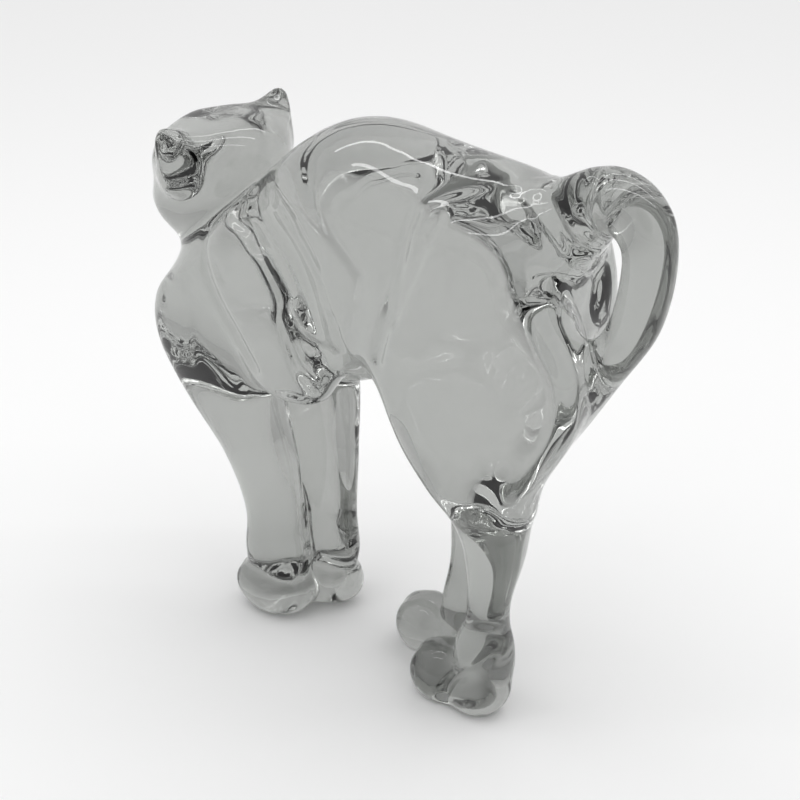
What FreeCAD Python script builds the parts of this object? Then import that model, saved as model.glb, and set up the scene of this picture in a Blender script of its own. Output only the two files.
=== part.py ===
"""A cat with an arched back, in solid clear crystal, standing on its four paws.

The figurine is worked hot: a torso gather takes the neck, head, ears, legs, paws and tail as
separate bits of crystal, which are welded on and melt together at their joints. Each bit is a
solid of its own here, cut back so that it meets its neighbours face to face.

Millimetres. +X is the way the cat faces, +Y its left side, +Z up. The origin is the middle of
the bounding box, on the plane that the soles stand on.
"""

import FreeCAD, Part

import math
import os

V = FreeCAD.Vector

X, Y, Z = V(1, 0, 0), V(0, 1, 0), V(0, 0, 1)
SIDES = ("left", "right")

# ---- driving dimensions -------------------------------------------------------------------
RING_POINTS = 16  # points that each closed section is drawn through
DOME_ANGLES = (35, 62, 80)  # degrees: sections that round off the end of a bit

# Torso, one ellipse for each x: (x, middle z, half width, half height)
TORSO = [
    (-49, 115.5, 12, 19),
    (-41, 113.5, 16.5, 24.5),
    (-28, 111.5, 19, 28),
    (-14, 110.5, 19.5, 30),
    (0, 110, 20, 32),
    (14, 109, 20, 32.5),
    (27, 104, 19.5, 31.5),
    (39, 97.5, 19.5, 28.5),
    (50, 90.5, 20, 25),
    (61, 84.5, 20, 21),
    (70, 81.5, 17, 17),
    (77, 80, 11.5, 11.5),
]
TORSO_ENDS = (5, 5)  # how far its rump and its chest dome out

# Neck and skull, one ellipse for each z: (z, middle x, middle y, half length, half width)
NECK = [(88, 54, 0, 13, 12), (95, 57, 0, 13, 12.5), (102, 60, 0, 12.5, 13), (110, 61, 0, 11, 13)]
NECK_ENDS = (3, 4)
SKULL = [
    (99, 66.5, 0, 9.5, 10.5),
    (103, 66.5, 0, 12, 13),
    (108, 66, 0, 14, 15.5),
    (113, 65.5, 0, 15.5, 17.5),
    (119, 65, 0, 16.5, 19),
    (125, 64.5, 0, 16, 19.8),
    (129.5, 64, 0, 13.5, 18.5),
]
SKULL_ENDS = (3.5, 4)
MUZZLE = ((80, 0, 109), (7.5, 8.5, 6.5))  # middle, half sizes
NOSE_BRIDGE = ((75, 0, 117), (8, 4.5, 7))
HEAD_ROLL = 5.0  # degrees that the head leans to the cat's left
HEAD_PIVOT = (64, 0, 118)

# Left ear: a short cone, with (share of its length, half width along x, half width across)
EAR_BASE, EAR_TIP = (62.5, 13, 122.5), (63, 20.5, 134.5)
EAR_SECTIONS = [(0, 6.0, 8.6), (0.4, 5.2, 6.8), (0.75, 3.8, 4.4), (1.0, 2.2, 2.4)]
EAR_ENDS = (1.5, 1.2)

# Shoulder and upper arm of the left foreleg, the same way: armpit, widest part, top
SHOULDER = [
    (75, 24, 12.5, 13.5, 7.5),
    (86, 26, 13.5, 18.5, 10),
    (98, 31, 13.5, 19, 10.5),
    (111, 37.5, 10.5, 12, 7.5),
]
SHOULDER_ENDS = (5, 4)
# Its forearm: wrist, shin, elbow, upper arm, chest
FOREARM = [
    (13, 38, 7, 9.5, 6),
    (32, 38.5, 7.5, 10, 6.5),
    (48, 42.5, 9.5, 14, 7.5),
    (62, 48.5, 11, 18, 9.5),
    (76, 54, 11, 20.5, 10.5),
    (86, 56, 10, 19, 10),
]
FOREARM_ENDS = (3, 8)
# Left hind leg, the same way: ankle, shank, hock, knee, thigh, haunch, hip
HIND_LEG = [
    (12, -36, 7, 6, 5.5),
    (28, -36.5, 7.5, 5.5, 5.5),
    (44, -38.5, 8, 7.5, 6.5),
    (56, -39, 9.5, 10.5, 8),
    (70, -36.5, 11.5, 17.5, 10.5),
    (92, -37.5, 12.5, 28.5, 12.5),
    (106, -37, 12, 27, 11.5),
    (121, -35, 10.5, 17.5, 8.5),
]
HIND_LEG_ENDS = (3, 9)

# Each foot's own step: how far it is set along x and outwards from under its shoulder or hip
FORE_LEAN = (80.0, 20.0)  # heights where the step begins and where it is complete
HIND_LEAN = (135.0, 88.0)
FORE_STEP = {"left": (1.5, 1.0), "right": (-4.0, -0.8)}
HIND_STEP = {"left": (0.0, 0.0), "right": (19.0, -0.5)}

# Rounded parts of a paw: half length, half width, half height, height of the middle, and how
# far ahead of the ankle. A hind paw is a heel with a bigger round toe in front of it.
FORE_PAW = [(12.8, 8.6, 8.2, 7.0, 1.2)]
HIND_PAW = [(7.8, 6.4, 7.4, 7.0, 4.4), (8.6, 8.0, 8.6, 6.4, 14.0)]
TOE_SPLAY = 2.0  # degrees that the toes point outwards

# Tail, an evenly tapered round rod: up from the rump, over in an arc, and down to the back of
# the left haunch
TAIL_ROOT = (-46, 0, 127)
TAIL_ARC = (-63.5, 128.5, 9.5)  # middle x, middle z and radius
TAIL_ARC_TURNS = (60, 90, 120, 150, 180)  # degrees round the arc from +X
TAIL_DROP = [(-71, 0.5, 113), (-60, 2.5, 95), (-48, 6, 79)]
TAIL_RADII = (7.8, 4.6)  # at the root and at the tip
TAIL_ENDS = (2, 4)


# ---- tools --------------------------------------------------------------------------------
def ring(middle, across, up, half_across, half_up):
    """A closed smooth section: an ellipse about middle, in the plane of two unit vectors."""
    points = []
    for i in range(RING_POINTS):
        angle = 2 * math.pi * i / RING_POINTS
        offset = across * (half_across * math.cos(angle)) + up * (half_up * math.sin(angle))
        points.append(middle + offset)
    curve = Part.BSplineCurve()
    curve.interpolate(points, PeriodicFlag=True)
    return Part.Wire(curve.toShape())


def dome(section, way, length):
    """Smaller and smaller sections that round off an end: each (middle, across, up, halves)."""
    middle, across, up, half_across, half_up = section
    rounding = []
    for degrees in DOME_ANGLES:
        shrink, reach = math.cos(math.radians(degrees)), math.sin(math.radians(degrees))
        tip = middle + way * (length * reach)
        rounding.append((tip, across, up, half_across * shrink, half_up * shrink))
    return rounding


def loft(sections, way_in, way_out, ends):
    """A smooth solid through sections, with both ends domed; the ways are its path's directions."""
    start = dome(sections[0], way_in * -1, ends[0])
    finish = dome(sections[-1], way_out, ends[1])
    rings = [ring(*section) for section in start[::-1] + sections + finish]
    return Part.makeLoft(rings, True, False)


def stack(levels, ends):
    """A solid through level ellipses: (z, middle x, middle y, half length, half width)."""
    sections = [(V(mx, my, z), X, Y, half_l, half_w) for z, mx, my, half_l, half_w in levels]
    return loft(sections, Z, Z, ends)


def rod(stations, ends):
    """A round rod along a path: (x, y, z, radius)."""
    middles = [V(x, y, z) for x, y, z, _ in stations]
    sections = []
    ways = []
    for i, (x, y, z, radius) in enumerate(stations):
        way = (middles[min(i + 1, len(middles) - 1)] - middles[max(i - 1, 0)]).normalize()
        up = way.cross(Y).normalize()
        across = up.cross(way).normalize()
        sections.append((middles[i], across, up, radius, radius))
        ways.append(way)
    return loft(sections, ways[0], ways[-1], ends)


def ellipsoid(middle, halves):
    grow = FreeCAD.Matrix()
    grow.scale(V(*halves))
    shape = Part.makeSphere(1).transformGeometry(grow)
    shape.translate(V(*middle))
    return shape


def on_side(side, shape):
    """The shape, which is made for the cat's left side, on the side asked for."""
    return shape if side == "left" else shape.mirror(V(0, 0, 0), Y)


def stepped(levels, step, lean):
    """Leg levels with the foot moved by step, eased in between the two heights of lean."""
    top, bottom = lean
    moved = []
    for z, mx, my, half_l, half_w in levels:
        share = min(1.0, max(0.0, (top - z) / (top - bottom)))
        share = share * share * (3 - 2 * share)
        moved.append((z, mx + step[0] * share, my + step[1] * share, half_l, half_w))
    return moved


# ---- the bits of crystal ------------------------------------------------------------------
def torso():
    sections = [(V(x, 0, z), Y, Z, half_w, half_h) for x, z, half_w, half_h in TORSO]
    return loft(sections, X, X, TORSO_ENDS)


def rolled(shape):
    """The shape turned with the head, about a line along x through the skull's middle."""
    turned = shape.copy()
    turned.rotate(V(*HEAD_PIVOT), X, -HEAD_ROLL)
    return turned


def head():
    skull = stack(SKULL, SKULL_ENDS)
    return rolled(skull.fuse(ellipsoid(*MUZZLE)).fuse(ellipsoid(*NOSE_BRIDGE)))


def ear(side):
    base, tip = V(*EAR_BASE), V(*EAR_TIP)
    length = tip - base
    way = (tip - base).normalize()
    up = way.cross(X).normalize()
    sections = [(base + length * share, X, up, wide, deep) for share, wide, deep in EAR_SECTIONS]
    return rolled(on_side(side, loft(sections, way, way, EAR_ENDS)))


def foreleg(side):
    forearm = stack(stepped(FOREARM, FORE_STEP[side], FORE_LEAN), FOREARM_ENDS)
    return on_side(side, forearm.fuse(stack(SHOULDER, SHOULDER_ENDS)))


def hind_leg(side):
    return on_side(side, stack(stepped(HIND_LEG, HIND_STEP[side], HIND_LEAN), HIND_LEG_ENDS))


def paw(side, ankle, parts):
    """A rounded paw with a flat sole, under the lowest level of a leg."""
    _, x, y, _, _ = ankle
    lumps = [ellipsoid((ahead, 0, mid), halves) for *halves, mid, ahead in parts]
    shape = lumps[0].fuse(lumps[1:]) if len(lumps) > 1 else lumps[0]
    shape.rotate(V(0, 0, 0), Z, TOE_SPLAY)
    shape.translate(V(x, y, 0))
    reach = 100.0  # of the block that grinds the sole flat
    below = Part.makeBox(reach, reach, reach, V(x - reach / 2, y - reach / 2, -reach))
    return on_side(side, shape.cut(below))


def fore_paw(side):
    return paw(side, stepped(FOREARM, FORE_STEP[side], FORE_LEAN)[0], FORE_PAW)


def hind_paw(side):
    return paw(side, stepped(HIND_LEG, HIND_STEP[side], HIND_LEAN)[0], HIND_PAW)


def tail():
    middle_x, middle_z, reach = TAIL_ARC
    path = [TAIL_ROOT]
    for degrees in TAIL_ARC_TURNS:
        turn = math.radians(degrees)
        path.append((middle_x + reach * math.cos(turn), 0, middle_z + reach * math.sin(turn)))
    path += TAIL_DROP
    root, tip = TAIL_RADII
    taper = (tip - root) / (len(path) - 1)
    return rod([(*point, root + taper * i) for i, point in enumerate(path)], TAIL_ENDS)


def bits():
    """Every bit by name, in the order that they are welded on."""
    made = {"torso": torso(), "neck": stack(NECK, NECK_ENDS), "head": head()}
    for name, make in (("ear", ear), ("foreleg", foreleg), ("hind_leg", hind_leg)):
        for side in SIDES:
            made[f"{side}_{name}"] = make(side)
    for name, make in (("fore_paw", fore_paw), ("hind_paw", hind_paw)):
        for side in SIDES:
            made[f"{side}_{name}"] = make(side)
    made["tail"] = tail()
    return made


def welded(made):
    """The bits face to face: each loses what the ones before it fill, and any loose sliver."""
    kept = {}
    for name, shape in made.items():
        near = [other for other in kept.values() if shape.BoundBox.intersect(other.BoundBox)]
        left = shape.cut(near) if near else shape
        kept[name] = max(left.Solids, key=lambda solid: solid.Volume)
    return kept


def main():
    os.makedirs("parts", exist_ok=True)
    kept = welded(bits())
    whole = Part.makeCompound(list(kept.values())).optimalBoundingBox(False, False)
    to_origin = V(-whole.Center.x, -whole.Center.y, 0)  # the soles are already at z = 0
    for name, solid in kept.items():
        solid.translate(to_origin)
        solid.exportStep(f"parts/{name}.step")
        print(name, "valid" if solid.isValid() else "INVALID", round(solid.Volume), "mm3")
    print("whole", [round(v, 1) for v in (whole.XLength, whole.YLength, whole.ZLength)], to_origin)


main()
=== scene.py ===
"""The look of the crystal cat: its bits melted into one piece of clear crystal, on a pale floor.

Each CAD node is turned into a distance field. The sides of the body are squared a little, and the
fields are blended one after another, so that every weld gets a soft fillet. Two paddles flatten
the sides, pads fill the notches between bits, and then grooves, ears, face and toes are pressed
in, as a glassmaker would do with shears and a paddle while the crystal is hot. The surface of the
field becomes one mesh. Fields are in millimetres; Blender objects are in metres.
"""

import math

import bpy
import numpy as np
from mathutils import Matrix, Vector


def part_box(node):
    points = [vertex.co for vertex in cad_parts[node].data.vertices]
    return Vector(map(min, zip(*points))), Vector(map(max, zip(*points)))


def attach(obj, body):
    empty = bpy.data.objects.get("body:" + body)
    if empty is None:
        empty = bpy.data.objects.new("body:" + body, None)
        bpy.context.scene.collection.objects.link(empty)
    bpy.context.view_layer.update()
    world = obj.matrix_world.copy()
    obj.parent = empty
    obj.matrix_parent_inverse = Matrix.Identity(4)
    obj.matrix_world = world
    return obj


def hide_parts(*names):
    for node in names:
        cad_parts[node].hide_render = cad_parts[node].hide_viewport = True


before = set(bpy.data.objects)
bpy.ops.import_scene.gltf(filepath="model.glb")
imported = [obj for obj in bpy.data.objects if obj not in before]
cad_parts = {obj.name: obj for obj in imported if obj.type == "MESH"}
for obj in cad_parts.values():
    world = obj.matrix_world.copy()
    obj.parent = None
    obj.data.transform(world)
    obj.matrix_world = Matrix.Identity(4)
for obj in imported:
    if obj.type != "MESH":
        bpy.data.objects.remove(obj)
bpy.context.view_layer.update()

import openvdb as vdb
from mathutils import Vector

MM = 0.001  # metres in a millimetre

# ---- the distance field (millimetres) ------------------------------------------------------
VOXEL = 0.85
BAND = 12  # voxels on each side of a surface where its distance is known
MARGIN = 6.0  # room around the nodes' boxes

# The nodes in the order that they are melted on, and how wide a fillet each one gets
BODY_MELTS = [
    ("neck", 8.0),
    ("left_foreleg", 3.5),
    ("right_foreleg", 6.0),
]
# What is melted on once the body has been squeezed
MELTS = [
    ("head", 3.0),
    ("left_ear", 3.5),
    ("right_ear", 3.5),
    ("left_fore_paw", 1.6),
    ("right_fore_paw", 1.6),
    ("left_hind_paw", 2.5),
    ("right_hind_paw", 2.5),
    ("tail", 8.0),
]
HAUNCH_MELT = 8.0  # between the haunches and the torso
HAUNCH_WEB = (18.0, 3.0)  # fillet between the two hind legs, above and below the crotch
CROTCH = (46.0, 62.0)  # heights where the web between the hind legs ends and is full
# The hot crystal is squeezed between two paddles, which leaves its sides flatter than its bits
SQUEEZED = ("torso", "left_hind_leg", "right_hind_leg", "left_foreleg", "right_foreleg")
SQUARING = 0.3  # how much a side is squared
SQUARED_FROM = (48.0, 72.0)  # heights where the squaring begins and is full
PADDLE_GAP = 23.4  # half the distance between the paddles
PADDLE_SOFTEN = 5.0

# ---- marks left by the glassmaker's tools ---------------------------------------------------
# A mark is a line pressed into the surface. Its points are shares of a node's box, usually a
# start, a middle and an end, and they settle on the surface that they are near.

# The broad valley behind the left shoulder, as shares of the left foreleg's box, and how far its
# upper edge is from its middle at each of its points
VALLEY = [(0.5, 0.7, 1.1), (0.15, 0.95, 0.95), (0.0, 0.9, 0.7)]
VALLEY_EDGE = [(-0.06, 0, 0.04), (-0.08, 0, 0.06), (-0.01, 0, 0.03)]
VALLEY_TOOL = (6.0, 4.2)  # radius of the rounded tool and how deep it is pressed
STREAKS = 6
STREAK_TOOL = (1.5, 2.0)
STREAK_WAVE = (0.02, 2.3, 1.7)  # share of the box, and turns from point to point and between streaks

# (node, points, tool radius, depth)
MARKS = [
    # the front edge of the left shoulder
    ("left_foreleg", [(0.7, 0.8, 0.95), (0.55, 1.0, 0.8), (0.35, 0.95, 0.65)], 1.6, 1.3),
    # two pleats from the back down the front of the left haunch
    ("left_hind_leg", [(0.8, 0.7, 1.0), (0.85, 0.95, 0.85), (0.95, 0.9, 0.7)], 2.0, 1.3),
    ("left_hind_leg", [(0.65, 0.7, 1.0), (0.75, 0.9, 0.9), (0.85, 0.95, 0.8)], 2.0, 1.2),
    # creases round the root of the tail
    ("tail", [(1.1, 0.9, 0.9), (0.9, 0.95, 0.85), (0.75, 0.9, 0.75)], 1.5, 0.8),
    ("tail", [(0.9, 0.9, 0.9), (0.75, 0.85, 0.85), (0.6, 0.6, 0.75)], 1.5, 0.8),
    ("tail", [(0.6, 0.5, 1.0), (0.5, 0.8, 0.95), (0.55, 0.55, 0.8)], 1.3, 0.6),
    # the crease between the left hind heel and its toe
    ("left_hind_paw", [(0.0, 0.6, 1.4), (0.05, 0.8, 1.15), (0.3, 0.8, 0.7), (0.45, 0.9, 0.3)], 1.4, 1.6),
    # the mouth
    ("head", [(0.93, 0.27, 0.26), (0.99, 0.42, 0.24), (1.0, 0.5, 0.3)], 1.2, 0.7),
    ("head", [(0.93, 0.76, 0.26), (0.99, 0.61, 0.24), (1.0, 0.5, 0.3)], 1.2, 0.7),
]
# The hollows of the cheeks, eyes, forehead and ears, the same way
HOLLOWS = [
    ("head", [(0.7, 0.22, 0.58), (0.8, 0.3, 0.42)], 8.0, 1.8),
    ("head", [(0.7, 0.78, 0.58), (0.8, 0.7, 0.42)], 8.0, 1.8),
    ("head", [(0.9, 0.3, 0.64), (0.94, 0.38, 0.6)], 3.4, 1.8),
    ("head", [(0.9, 0.7, 0.64), (0.94, 0.62, 0.6)], 3.4, 1.8),
    ("head", [(0.75, 0.08, 0.78), (0.93, 0.5, 0.84), (0.75, 0.92, 0.78)], 4.0, 0.9),
    ("left_ear", [(1.0, 0.5, 0.5), (0.9, 0.75, 0.85)], 2.2, 1.2),
    ("right_ear", [(1.0, 0.5, 0.5), (0.9, 0.25, 0.85)], 2.2, 1.2),
]
# Crystal that fills a notch: (node, points, radius)
PADS = [
    # the cheeks, from the skull to the muzzle, and the bridge of the nose
    ("head", [(0.6, 0.3, 0.4), (0.78, 0.42, 0.34)], 7.0),
    ("head", [(0.6, 0.7, 0.4), (0.78, 0.58, 0.34)], 7.0),
    ("head", [(0.6, 0.5, 0.75), (0.8, 0.5, 0.5)], 6.0),
    # the rump, the right side of the chest, and the back of the right thigh
    ("torso", [(0.1, 0.5, 0.2), (0.1, 0.5, 0.45), (0.1, 0.5, 0.65)], 12.0),
    ("torso", [(0.6, 0.2, 0.15), (0.85, 0.2, 0.15)], 9.0),
    ("torso", [(0.1, 0.25, 0.3), (0.15, 0.25, 0.1)], 9.5),
    # the left heel, the weld between the fore paws, and the middle of each hind paw
    ("left_hind_paw", [(0.2, 0.45, 1.2), (0.15, 0.45, 0.5)], 6.0),
    ("left_fore_paw", [(0.45, 0.45, 0.5), (0.3, -0.3, 0.5)], 5.5),
    ("left_hind_paw", [(0.25, 0.5, 0.4), (0.7, 0.5, 0.4)], 5.6),
    ("right_hind_paw", [(0.25, 0.5, 0.4), (0.7, 0.5, 0.4)], 5.6),
]
PAD_MELT = 5.0
TOE_LINES = (0.34, 0.66)  # shares of a paw's width
TOE_PATH = [(0.75, 0.95), (0.95, 0.6), (0.97, 0.15)]  # shares of its length and height
TOE_TOOL = (1.3, 0.5)
SOFTEN = 1.0  # rounding of a mark's edges
SLOPE_STEP = 1.3  # half of the distance that a slope of the field is measured over
BLURS = (2, 1)  # rounds that smooth the field before and after it is worked
IRONING = 4  # rounds that smooth the mesh
SETTLING = 3  # rounds that move a mark on to the surface
TOOL_ROOM = 4.0  # how far round a tool its distance field reaches
PATH_STEPS = 6  # straight runs between two points of a mark


def grid_frame():
    """The field's first corner in voxels, and its size in voxels."""
    boxes = np.array([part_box(name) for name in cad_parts]) / MM
    first = np.floor((boxes[:, 0].min(axis=0) - MARGIN) / VOXEL).astype(int)
    last = np.ceil((boxes[:, 1].max(axis=0) + MARGIN) / VOXEL).astype(int)
    return first, tuple(last - first + 1)


FIRST, SHAPE = grid_frame()
HALF_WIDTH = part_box("left_foreleg")[1][1] / MM  # of the whole cat


def node_field(name):
    """Signed distance to a CAD node's surface, negative inside."""
    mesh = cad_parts[name].data
    mesh.calc_loop_triangles()
    points = np.empty(len(mesh.vertices) * 3, np.float32)
    mesh.vertices.foreach_get("co", points)
    corners = np.empty(len(mesh.loop_triangles) * 3, np.int32)
    mesh.loop_triangles.foreach_get("vertices", corners)
    points = points.reshape(-1, 3) / MM
    if name in SQUEEZED:
        share = points[:, 1] / HALF_WIDTH
        full = np.interp(points[:, 2], SQUARED_FROM, (0, SQUARING))
        points[:, 1] *= 1 + full * (1 - share**2)
    grid = vdb.FloatGrid.createLevelSetFromPolygons(
        points,
        triangles=corners.reshape(-1, 3).astype(np.uint32),
        transform=vdb.createLinearTransform(voxelSize=VOXEL),
        halfWidth=BAND,
    )
    field = np.empty(SHAPE, np.float32)
    grid.copyToArray(field, ijk=tuple(int(v) for v in FIRST))
    return field


def melted(a, b, width):
    """Union of two fields with a soft fillet about width across."""
    overlap = np.maximum(width - np.abs(a - b), 0) / width
    return np.minimum(a, b) - overlap * overlap * (width / 4)


def haunches():
    """Both hind legs, which are one mass above the crotch."""
    height = (np.arange(SHAPE[2]) + FIRST[2]) * VOXEL
    full, slight = HAUNCH_WEB
    web = np.interp(height, CROTCH, (slight, full)).astype(np.float32)
    return melted(node_field("left_hind_leg"), node_field("right_hind_leg"), web)


def crystal_field():
    """The whole cat, squeezed between the paddles, before any tool touches it."""
    field = melted(node_field("torso"), haunches(), HAUNCH_MELT)
    for name, width in BODY_MELTS:
        field = melted(field, node_field(name), width)
    side = (np.arange(SHAPE[1]) + FIRST[1]) * VOXEL
    paddles = (PADDLE_GAP - np.abs(side))[None, :, None]
    field = -melted(-field, paddles, PADDLE_SOFTEN)
    for name, width in MELTS:
        field = melted(field, node_field(name), width)
    return field


def blurred(field, rounds):
    """The field with a three-point blur along each axis, which irons out facets."""
    for _ in range(rounds):
        for axis in range(3):
            padded = np.pad(field, [(1, 1) if a == axis else (0, 0) for a in range(3)], mode="edge")
            span = field.shape[axis]
            before = padded.take(range(span), axis)
            after = padded.take(range(2, span + 2), axis)
            field = 0.25 * before + 0.5 * field + 0.25 * after
    return field


def spots(node, points):
    """Points given as shares of a node's box, in millimetres."""
    low, high = (np.array(corner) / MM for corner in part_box(node))
    return low + np.array(points) * (high - low)


def curve(points):
    """A smooth line through points, as many short straight runs."""
    padded = np.vstack([2 * points[0] - points[1], points, 2 * points[-1] - points[-2]])
    line = []
    for i in range(len(points) - 1):
        a, b, c, d = padded[i : i + 4]
        for t in np.arange(PATH_STEPS) / PATH_STEPS:
            line.append(
                0.5 * (2 * b + (c - a) * t + (2 * a - 5 * b + 4 * c - d) * t**2
                       + (3 * b - a - 3 * c + d) * t**3)
            )
    line.append(points[-1])
    return np.array(line)


def sampled(field, points):
    """Values of the field at points, linear between voxels."""
    at = points / VOXEL - FIRST
    cell = np.clip(np.floor(at).astype(int), 0, np.array(SHAPE) - 2)
    part = at - cell
    total = np.zeros(len(points))
    for corner in np.ndindex(2, 2, 2):
        weight = np.prod(np.where(corner, part, 1 - part), axis=1)
        i, j, k = (cell + corner).T
        total += weight * field[i, j, k]
    return total


def outward(field, points):
    """Unit vectors away from the surface."""
    slope = np.stack(
        [sampled(field, points + way) - sampled(field, points - way) for way in SLOPE_STEP * np.eye(3)],
        axis=1,
    )
    return slope / np.maximum(np.linalg.norm(slope, axis=1, keepdims=True), 1e-9)


def settled(field, points, height):
    """The points moved straight out or in, to a height over the surface."""
    for _ in range(SETTLING):
        move = height - sampled(field, points)
        points = points + outward(field, points) * move[:, None]
    return points


def rounded_tool(line, radius):
    """Where a round tool moved along a line reaches, and the distance field of what it sweeps."""
    reach = radius + TOOL_ROOM
    low = np.floor((line.min(axis=0) - reach) / VOXEL).astype(int) - FIRST
    high = np.ceil((line.max(axis=0) + reach) / VOXEL).astype(int) - FIRST
    low, high = np.maximum(low, 0), np.minimum(high, SHAPE)
    axes = [(np.arange(a, b) + f) * VOXEL for a, b, f in zip(low, high, FIRST)]
    place = np.stack(np.meshgrid(*axes, indexing="ij"), axis=-1)
    sweep = np.full(place.shape[:3], np.inf)
    for start, end in zip(line[:-1], line[1:]):
        run = end - start
        share = np.clip((place - start) @ run / max(run @ run, 1e-9), 0, 1)
        sweep = np.minimum(sweep, np.linalg.norm(place - start - share[..., None] * run, axis=-1))
    return tuple(slice(a, b) for a, b in zip(low, high)), sweep - radius


def press(field, points, radius, depth):
    """Press a rounded tool into the field along a line of points."""
    here, sweep = rounded_tool(settled(field, curve(points), radius - depth), radius)
    field[here] = -melted(-field[here], sweep, SOFTEN)


def fill(field, points, radius):
    """Add crystal along a line of points."""
    here, sweep = rounded_tool(points, radius)
    field[here] = melted(field[here], sweep, PAD_MELT)


def valley(field):
    """The broad valley behind the left shoulder, and the streaks that run along it."""
    middle, edge = np.array(VALLEY), np.array(VALLEY_EDGE)
    press(field, spots("left_foreleg", middle), *VALLEY_TOOL)
    wave, along, across = STREAK_WAVE
    for k in range(STREAKS):
        path = middle + edge * (2 * k / (STREAKS - 1) - 1)
        path[:, 2] += wave * np.sin(along * np.arange(len(path)) + across * k)
        press(field, spots("left_foreleg", path), *STREAK_TOOL)


def toe_lines(field):
    """Two short lines down the front of each paw, which part its three toes."""
    for side in ("left", "right"):
        for paw in ("fore", "hind"):
            for share in TOE_LINES:
                path = [(ahead, share, up) for ahead, up in TOE_PATH]
                press(field, spots(f"{side}_{paw}_paw", path), *TOE_TOOL)


def worked(field):
    """The field with every pad added, and every mark, hollow and toe line pressed into it."""
    for node, points, radius in PADS:
        fill(field, spots(node, points), radius)
    valley(field)
    for node, points, radius, depth in MARKS + HOLLOWS:
        press(field, spots(node, points), radius, depth)
    toe_lines(field)
    return field


def ironed(points, quads):
    """The points of a closed quad mesh, each moved half way to the mean of its neighbours."""
    start = quads.ravel()
    end = np.roll(quads, -1, axis=1).ravel()
    count = np.bincount(start, minlength=len(points))[:, None]
    for _ in range(IRONING):
        total = np.stack([np.bincount(start, points[end, k], len(points)) for k in range(3)], axis=1)
        points = (points + total / count) / 2
    return points


def surface(field, name):
    """A mesh object of the field's zero surface, in metres."""
    grid = vdb.FloatGrid()
    grid.transform = vdb.createLinearTransform(voxelSize=VOXEL)
    grid.background = float(BAND * VOXEL)
    grid.copyFromArray(np.ascontiguousarray(field, dtype=np.float32), ijk=tuple(int(v) for v in FIRST))
    points, quads = grid.convertToQuads(isovalue=0)
    points = ironed(points, quads)
    mesh = bpy.data.meshes.new(name)
    mesh.from_pydata((points * MM).tolist(), [], quads.tolist())
    mesh.validate()
    obj = bpy.data.objects.new(name, mesh)
    bpy.context.scene.collection.objects.link(obj)
    mesh.shade_smooth()
    mesh.normals_split_custom_set_from_vertices(outward(field, points.astype(float)).tolist())
    return obj


# ---- material -------------------------------------------------------------------------------
CRYSTAL_IOR = 1.52
TINTS = ((0.3, (0.400, 0.412, 0.396)), (0.7, (0.430, 0.437, 0.423)))
TINT_SCALE = 18
RIPPLE_SCALE, RIPPLE_DISTORTION = 70, 0.6
RIPPLE_STRENGTH, RIPPLE_DEPTH = 0.12, 0.0006


def ramp(nodes, stops):
    """A colour ramp node with two stops: each (position, colour)."""
    node = nodes.new("ShaderNodeValToRGB")
    for element, (position, colour) in zip(node.color_ramp.elements, stops):
        element.position = position
        element.color = (*colour, 1)
    return node


def noise(nodes, scale, distortion=0.0):
    node = nodes.new("ShaderNodeTexNoise")
    node.inputs["Scale"].default_value = scale
    node.inputs["Detail"].default_value = 1
    node.inputs["Distortion"].default_value = distortion
    return node


def crystal_material():
    """Clear crystal with faint cords and ripples, as poured and hand-worked crystal has."""
    material = bpy.data.materials.new("clear_crystal")
    material.use_nodes = True
    nodes, links = material.node_tree.nodes, material.node_tree.links
    shader = nodes["Principled BSDF"]
    shader.inputs["Roughness"].default_value = 0.0
    shader.inputs["IOR"].default_value = CRYSTAL_IOR
    shader.inputs["Transmission Weight"].default_value = 1.0
    place = nodes.new("ShaderNodeTexCoord")
    cloud = noise(nodes, TINT_SCALE)
    tint = ramp(nodes, TINTS)
    ripple = noise(nodes, RIPPLE_SCALE, RIPPLE_DISTORTION)
    bump = nodes.new("ShaderNodeBump")
    bump.inputs["Strength"].default_value = RIPPLE_STRENGTH
    bump.inputs["Distance"].default_value = RIPPLE_DEPTH
    links.new(place.outputs["Object"], cloud.inputs["Vector"])
    links.new(place.outputs["Object"], ripple.inputs["Vector"])
    links.new(cloud.outputs["Fac"], tint.inputs["Fac"])
    links.new(tint.outputs["Color"], shader.inputs["Base Color"])
    links.new(ripple.outputs["Fac"], bump.inputs["Height"])
    links.new(bump.outputs["Normal"], shader.inputs["Normal"])
    return material


# ---- stage -----------------------------------------------------------------------------------
VIEW_TURN = 224  # degrees that the camera stands round from the right side, and the lights with it
VIEW_RISE = 24  # degrees that it stands above the level
VIEW_DISTANCE = 0.45
VIEW_TARGET = (-0.004, 0, 0.072)
LENS = 81  # millimetres, on a sensor 36 wide
FLOOR_SIZE = 6
FLOOR_COLOUR = (0.9, 0.9, 0.9, 1)
FLOOR_ROUGHNESS = 0.9
DOORWAY = (-0.62, 0.64, 0.45)  # the light tent's dark opening, where the camera looks in
DOOR_EDGE = ((0.93, (1, 1, 1)), (0.96, (0.08, 0.08, 0.08)))  # from the tent's cloth to the opening
SKY = ((0.0, (0.72, 0.72, 0.72)), (0.9, (1, 1, 1)))  # from the horizon to overhead
SKY_STRENGTH = 1.02
STRIPS = 3
FIRST_STRIP, STRIP_SPACING = -0.15, 0.2  # the nearest strip light, and the step to the next one
STRIP_HEIGHT = 0.55
STRIP_SIZE = (0.9, 0.02)
STRIP_POWER = 0.34


def floor_material():
    material = bpy.data.materials.new("pale_floor")
    material.use_nodes = True
    shader = material.node_tree.nodes["Principled BSDF"]
    shader.inputs["Base Color"].default_value = FLOOR_COLOUR
    shader.inputs["Roughness"].default_value = FLOOR_ROUGHNESS
    return material


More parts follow.
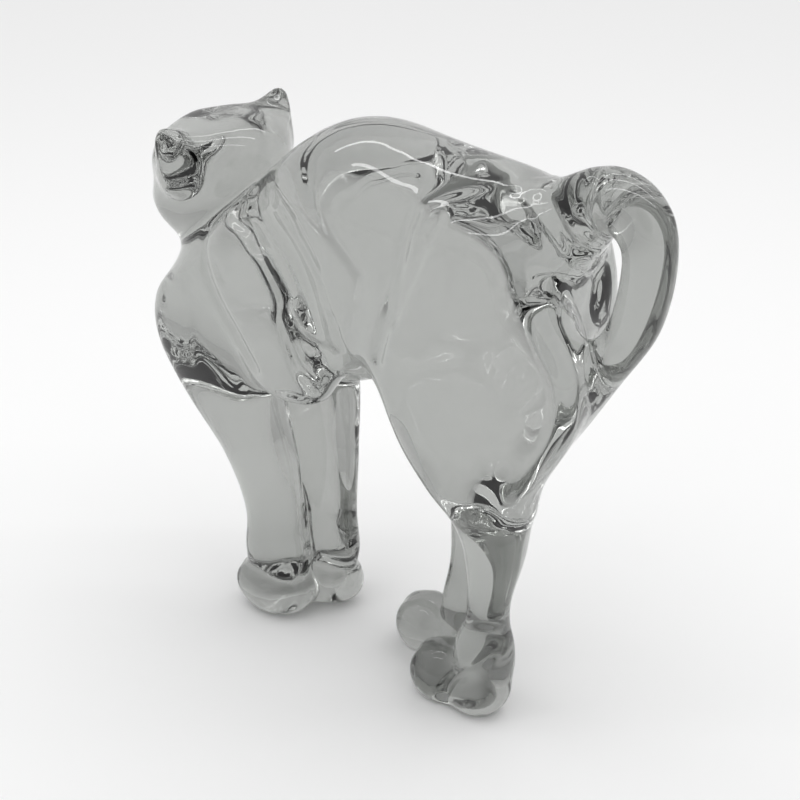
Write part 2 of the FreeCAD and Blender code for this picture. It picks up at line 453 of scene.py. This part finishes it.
def strip_light(name, along):
    """A light that faces down and hangs across the view, at a distance beyond the figure."""
    turn = math.radians(VIEW_TURN)
    data = bpy.data.lights.new(name, "AREA")
    data.shape = "RECTANGLE"
    data.size, data.size_y = STRIP_SIZE
    data.energy = STRIP_POWER
    light = bpy.data.objects.new(name, data)
    light.location = (-along * math.sin(turn), along * math.cos(turn), STRIP_HEIGHT)
    light.rotation_euler = (0, 0, turn)
    bpy.context.scene.collection.objects.link(light)


def studio_world():
    """A light tent: pale all round, brighter overhead, with a dark doorway."""
    world = bpy.data.worlds.new("studio")
    world.use_nodes = True
    nodes, links = world.node_tree.nodes, world.node_tree.links
    background = nodes["Background"]
    direction = nodes.new("ShaderNodeTexCoord")
    axis = nodes.new("ShaderNodeVectorMath")
    axis.operation = "DOT_PRODUCT"
    axis.inputs[1].default_value = DOORWAY
    door = ramp(nodes, DOOR_EDGE)
    height = nodes.new("ShaderNodeSeparateXYZ")
    sky = ramp(nodes, SKY)
    both = nodes.new("ShaderNodeMix")
    both.data_type = "RGBA"
    both.blend_type = "MULTIPLY"
    both.inputs["Factor"].default_value = 1.0
    links.new(direction.outputs["Generated"], axis.inputs[0])
    links.new(direction.outputs["Generated"], height.inputs[0])
    links.new(axis.outputs["Value"], door.inputs["Fac"])
    links.new(height.outputs["Z"], sky.inputs["Fac"])
    links.new(door.outputs["Color"], both.inputs["A"])
    links.new(sky.outputs["Color"], both.inputs["B"])
    links.new(both.outputs["Result"], background.inputs["Color"])
    background.inputs["Strength"].default_value = SKY_STRENGTH
    return world


def stage():
    """The floor, the light tent and the strip lights."""
    bpy.ops.mesh.primitive_plane_add(size=FLOOR_SIZE)
    floor = bpy.context.object
    floor.name = "floor"
    floor.data.materials.append(floor_material())
    bpy.context.scene.world = studio_world()
    for i in range(STRIPS):
        strip_light(f"strip_{i}", FIRST_STRIP + STRIP_SPACING * i)


def camera():
    """The camera: behind the cat's left shoulder, looking slightly down."""
    azimuth, elevation = math.radians(VIEW_TURN), math.radians(VIEW_RISE)
    back = Vector(
        (
            math.sin(azimuth) * math.cos(elevation),
            -math.cos(azimuth) * math.cos(elevation),
            math.sin(elevation),
        )
    )
    data = bpy.data.cameras.new("camera")
    data.lens = LENS
    data.sensor_width = 36
    data.clip_start = 0.01
    obj = bpy.data.objects.new("camera", data)
    obj.location = Vector(VIEW_TARGET) + back * VIEW_DISTANCE
    obj.rotation_euler = (-back).to_track_quat("-Z", "Y").to_euler()
    bpy.context.scene.collection.objects.link(obj)
    bpy.context.scene.camera = obj
    bpy.context.scene.view_settings.view_transform = "Standard"


# ---- the object ------------------------------------------------------------------------------
field = blurred(worked(blurred(crystal_field(), BLURS[0])), BLURS[1])
cat = surface(field, "crystal_cat")
cat.data.materials.append(crystal_material())
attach(cat, "root")
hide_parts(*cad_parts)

stage()
camera()
